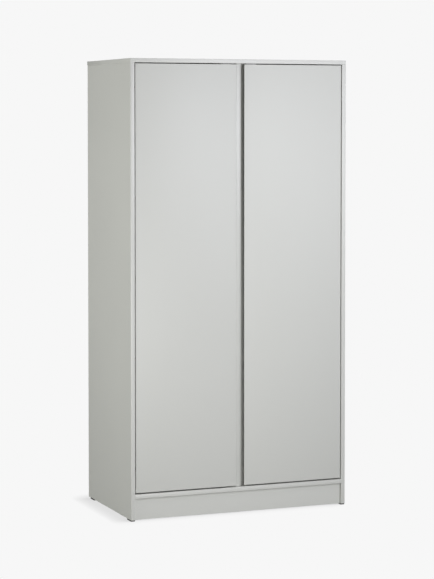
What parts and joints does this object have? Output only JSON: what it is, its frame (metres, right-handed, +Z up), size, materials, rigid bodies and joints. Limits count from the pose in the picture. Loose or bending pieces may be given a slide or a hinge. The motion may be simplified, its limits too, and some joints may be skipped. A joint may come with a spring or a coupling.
{
  "type": "two-door wardrobe",
  "caption": "Tall wardrobe with flush inset doors, a vertical grip gap at the centre, a recessed plinth and a hanging bay beside a shelved bay",
  "frame": {"origin": "on the floor at the centre of the footprint", "axes": "+Z up, doors face -Y, +X to the right of a person facing the doors"},
  "size_m": [1, 0.58, 1.96],
  "materials": {
    "grey_board": "satin foil",
    "door_board": "satin lacquer",
    "back_board": "matt foil",
    "beech": "raw",
    "zinc": "zinc plated",
    "nickel_steel": "nickel plated",
    "chrome_rail": "polished",
    "pale_plastic": "matt",
    "black_plastic": "matt",
    "soft_pad": "soft"
  },
  "bodies": {
    "carcass": {"top_panel": "grey_board", "left_side_panel": "grey_board", "right_side_panel": "grey_board", "bottom_panel": "grey_board", "centre_partition": "grey_board", "closing_lath_left": "grey_board", "closing_lath_right": "grey_board", "lath_screws": "zinc", "plinth_front": "grey_board", "plinth_rear": "grey_board", "plinth_centre_support": "grey_board", "back_board_left": "back_board", "back_board_right": "back_board", "back_joining_strip": "pale_plastic", "hat_shelf_left": "grey_board", "hat_shelf_right": "grey_board", "loose_shelf_lower": "grey_board", "loose_shelf_middle": "grey_board", "loose_shelf_upper": "grey_board", "dowels": "beech", "cam_bolts": "zinc", "cam_locks": "zinc", "shelf_pins": "zinc", "back_nails": "zinc", "floor_glides": "black_plastic", "hanging_rail": "chrome_rail", "rail_socket_left": "chrome_rail", "rail_socket_right": "chrome_rail", "rail_screws": "zinc", "wall_bracket": "zinc", "bracket_screws": "zinc", "left_magnet_catch": "pale_plastic", "right_magnet_catch": "pale_plastic", "left_hinge_arms": "nickel_steel", "left_mounting_plates": "nickel_steel", "left_arm_screws": "zinc", "left_plate_screws": "zinc", "right_hinge_arms": "nickel_steel", "right_mounting_plates": "nickel_steel", "right_arm_screws": "zinc", "right_plate_screws": "zinc"},
    "left_leaf": {"left_door": "door_board", "left_strike_plate": "zinc", "left_door_bumpers": "soft_pad", "left_hinge_cups": "nickel_steel", "left_hinge_pins": "zinc", "left_cup_screws": "zinc"},
    "right_leaf": {"right_door": "door_board", "right_strike_plate": "zinc", "right_door_bumpers": "soft_pad", "right_hinge_cups": "nickel_steel", "right_hinge_pins": "zinc", "right_cup_screws": "zinc"}
  },
  "joints": [
    {"name": "left_door_hinge", "type": "hinge", "parent": "carcass", "child": "left_leaf", "pos_m": [-0.4694, -0.2815, 1.028], "axis": [0, 0, -1], "range_deg": [0, 110]},
    {"name": "right_door_hinge", "type": "hinge", "parent": "carcass", "child": "right_leaf", "pos_m": [0.4694, -0.2815, 1.028], "axis": [0, 0, 1], "range_deg": [0, 110]}
  ]
}
